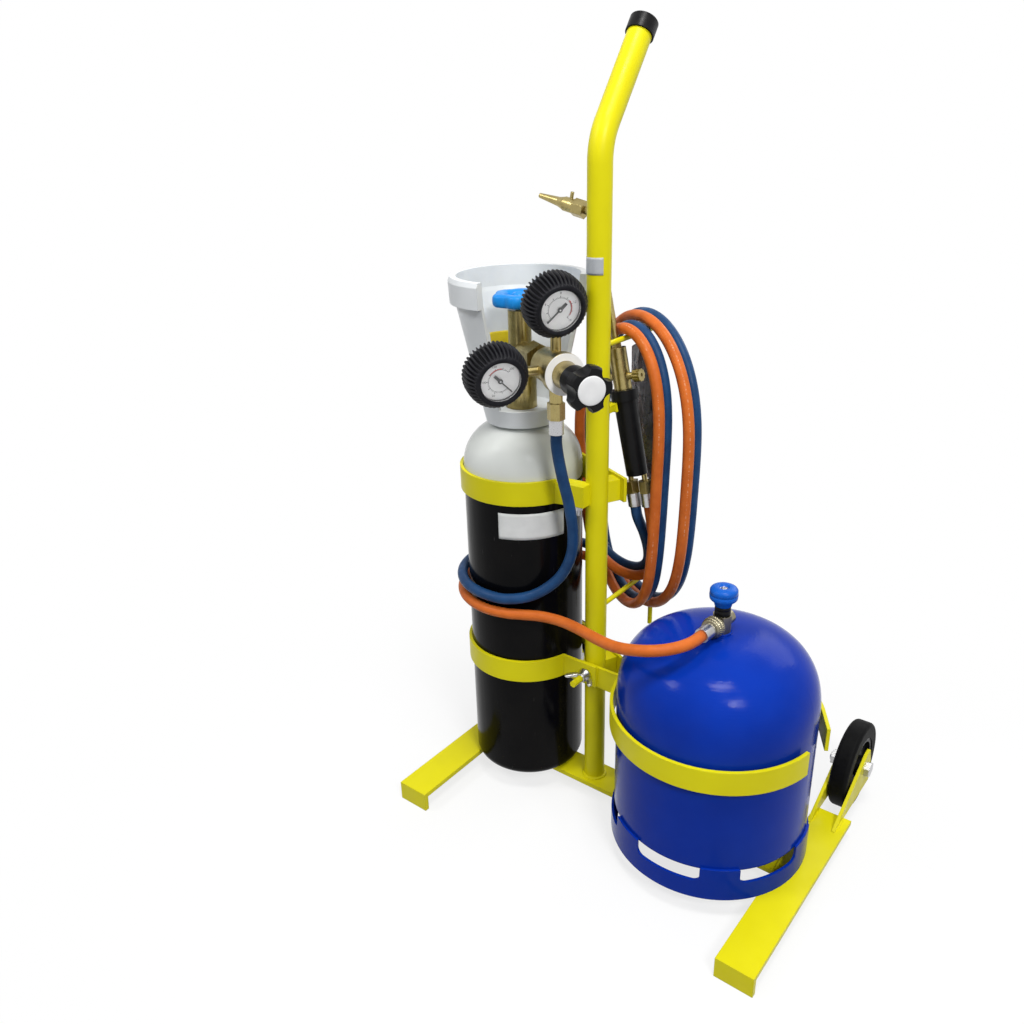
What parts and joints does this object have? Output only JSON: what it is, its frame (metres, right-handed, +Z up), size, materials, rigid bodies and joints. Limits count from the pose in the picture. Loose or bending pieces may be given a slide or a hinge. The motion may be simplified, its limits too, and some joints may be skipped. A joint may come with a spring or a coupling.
{
  "type": "gas torch cart",
  "caption": "Two-wheeled yellow cart with a bent mast carrying an oxygen cylinder with regulator, a domed fuel gas cylinder, wound hoses and a hand torch.",
  "frame": {"origin": "on the floor at the middle of the footprint, from the front feet to the backs of the wheels", "axes": "+Z up, +X from the oxygen cylinder to the fuel cylinder, -Y to the front, +Y to the wheels"},
  "size_m": [0.483, 0.391, 0.8929],
  "materials": {
    "frame_paint": "gloss yellow enamel",
    "zinc_steel": "bright zinc plate",
    "black_plastic": "moulded satin",
    "tyre_rubber": "matt rubber",
    "oxygen_paint": "gloss black body with a white shoulder",
    "guard_plastic": "moulded, light sheen",
    "brass": "machined",
    "blue_plastic": "moulded",
    "white_card": "printed card, left blank or with a plain scale",
    "boot_rubber": "ribbed rubber",
    "gauge_steel": "black enamel",
    "needle_paint": "matt black",
    "lens": "clear",
    "fuel_paint": "gloss blue enamel",
    "blue_hose": "smooth rubber",
    "orange_hose": "smooth rubber",
    "pouch_film": "textured film"
  },
  "bodies": {
    "cart": {"cross_beam": "frame_paint", "left_runner": "frame_paint", "right_runner": "frame_paint", "mast": "frame_paint", "handle_cap": "black_plastic", "upper_clamp_band": "frame_paint", "clamp_blocks": "frame_paint", "clamp_bolt": "zinc_steel", "lower_clamp_strap": "frame_paint", "fuel_ring": "frame_paint", "hose_hooks": "frame_paint", "torch_cradle": "frame_paint", "left_wheel_bracket": "frame_paint", "right_wheel_bracket": "frame_paint", "axle_bolts": "zinc_steel", "axle_nuts": "zinc_steel", "oxygen_cylinder": "oxygen_paint", "valve_guard": "guard_plastic", "oxygen_valve": "brass", "inlet_nut": "brass", "regulator_body": "brass", "regulator_bonnet": "brass", "bonnet_ring": "white_card", "regulator_diaphragm": "boot_rubber", "control_spring": "zinc_steel", "gauge_stems": "brass", "gauge_cases": "gauge_steel", "gauge_boots": "boot_rubber", "gauge_dials": "white_card", "gauge_lenses": "lens", "outlet_connector": "brass", "hose_ferrules": "zinc_steel", "fuel_cylinder": "fuel_paint", "fuel_foot_ring": "fuel_paint", "fuel_valve": "brass", "fuel_outlet_nut": "brass", "torch_handle": "black_plastic", "torch_body": "brass", "torch_neck": "brass", "torch_nozzle": "brass", "torch_hose_nuts": "brass", "oxygen_hose_lead": "blue_hose", "oxygen_hose_coil": "blue_hose", "oxygen_hose_tail": "blue_hose", "fuel_hose_lead": "orange_hose", "fuel_hose_coil": "orange_hose", "fuel_hose_tail": "orange_hose", "spares_pouch": "pouch_film"},
    "left_wheel": {"left_wheel_hub": "black_plastic", "left_wheel_tyre": "tyre_rubber"},
    "right_wheel": {"right_wheel_hub": "black_plastic", "right_wheel_tyre": "tyre_rubber"},
    "wing_nut": {"wing_nut": "zinc_steel"},
    "oxygen_handwheel": {"oxygen_handwheel": "blue_plastic"},
    "adjusting_knob": {"adjusting_knob": "black_plastic"},
    "contents_needle": {"contents_needle": "needle_paint"},
    "outlet_needle": {"outlet_needle": "needle_paint"},
    "fuel_knob": {"fuel_knob": "blue_plastic"},
    "torch_oxygen_knob": {"torch_oxygen_knob": "brass"},
    "torch_fuel_knob": {"torch_fuel_knob": "brass"}
  },
  "joints": [
    {"name": "left_wheel_spin", "type": "hinge", "parent": "cart", "child": "left_wheel", "pos_m": [-0.216, 0.1405, 0.055], "axis": [1, 0, 0], "continuous": true},
    {"name": "right_wheel_spin", "type": "hinge", "parent": "cart", "child": "right_wheel", "pos_m": [0.216, 0.1405, 0.055], "axis": [1, 0, 0], "continuous": true},
    {"name": "wing_nut_turn", "type": "hinge", "parent": "cart", "child": "wing_nut", "pos_m": [-0.0525, -0.0595, 0.186], "axis": [0, -1, 0], "continuous": true},
    {"name": "oxygen_valve_turn", "type": "hinge", "parent": "cart", "child": "oxygen_handwheel", "pos_m": [-0.1565, -0.0325, 0.618], "axis": [0, 0, 1], "range_deg": [0, 630]},
    {"name": "pressure_adjust", "type": "hinge", "parent": "cart", "child": "adjusting_knob", "pos_m": [-0.01233, -0.12259, 0.566], "axis": [-0.848, 0.5299, 0], "range_deg": [0, 900]},
    {"name": "contents_reading", "type": "hinge", "parent": "cart", "child": "contents_needle", "pos_m": [-0.09605, -0.14291, 0.56179], "axis": [-0.831, 0.5193, 0.1994], "range_deg": [0, 270]},
    {"name": "outlet_reading", "type": "hinge", "parent": "cart", "child": "outlet_needle", "pos_m": [-0.06171, -0.08796, 0.62649], "axis": [-0.831, 0.5193, 0.1994], "range_deg": [0, 270]},
    {"name": "fuel_valve_turn", "type": "hinge", "parent": "cart", "child": "fuel_knob", "pos_m": [0.1075, -0.0325, 0.335], "axis": [0, 0, 1], "range_deg": [0, 810]},
    {"name": "torch_oxygen_turn", "type": "hinge", "parent": "cart", "child": "torch_oxygen_knob", "pos_m": [-0.05191, 0.0135, 0.53769], "axis": [-0.9781, 0, -0.2079], "range_deg": [0, 450]},
    {"name": "torch_fuel_turn", "type": "hinge", "parent": "cart", "child": "torch_fuel_knob", "pos_m": [-0.05191, 0.0135, 0.53769], "axis": [0.9781, 0, 0.2079], "range_deg": [0, 450]}
  ]
}
